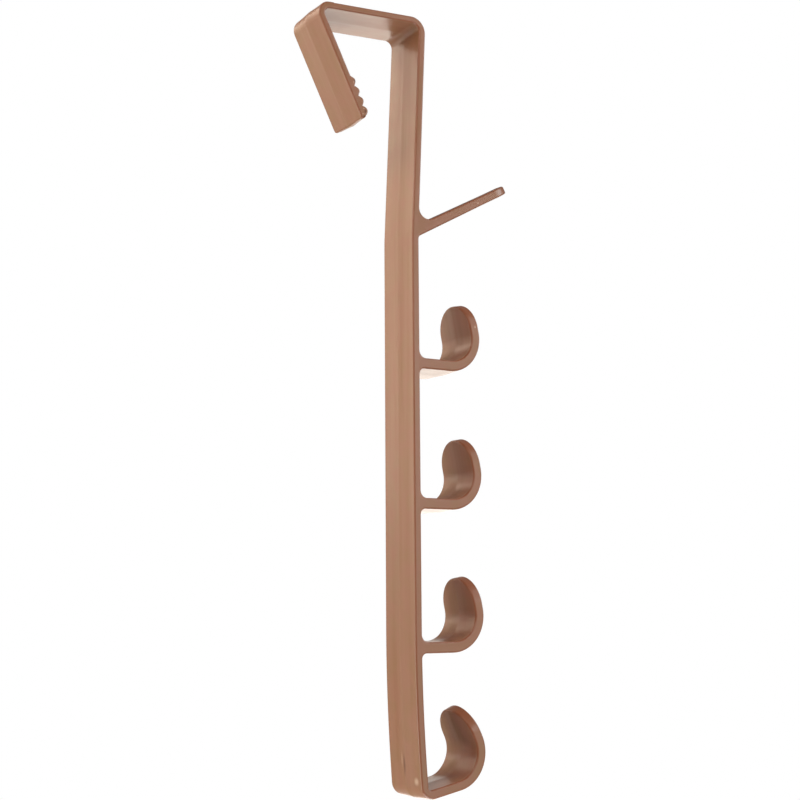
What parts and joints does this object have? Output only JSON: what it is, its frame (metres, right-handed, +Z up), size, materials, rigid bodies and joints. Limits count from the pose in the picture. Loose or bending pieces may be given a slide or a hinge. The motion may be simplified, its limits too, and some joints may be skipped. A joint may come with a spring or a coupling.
{
  "type": "over-the-door hook rack",
  "caption": "Moulded plastic hanging strip for the top of a door, with a sprung clip arm, a sloping hanger peg and J-hooks down the front.",
  "frame": {"origin": "middle of the bridge's underside, which sits on the top edge of the door", "axes": "+X points into the room, away from the door; +Y runs along the door's width; +Z is up"},
  "size_m": [0.1271, 0.0304, 0.4218],
  "materials": {
    "plastic": "glossy reddish-brown injection moulded polypropylene"
  },
  "bodies": {
    "rack": {"top_bridge": "plastic", "neck_strap": "plastic", "back_strap": "plastic", "hanger_peg": "plastic", "upper_hook": "plastic", "middle_hook": "plastic", "lower_hook": "plastic", "foot_hook": "plastic"},
    "grip": {"grip_arm": "plastic"}
  },
  "joints": [
    {"name": "grip_flex", "type": "hinge", "parent": "rack", "child": "grip", "pos_m": [-0.02565, 0, -0.0049], "axis": [0, 1, 0], "range_deg": [0, 20], "stiffness_Nm_per_rad": 3.2}
  ]
}
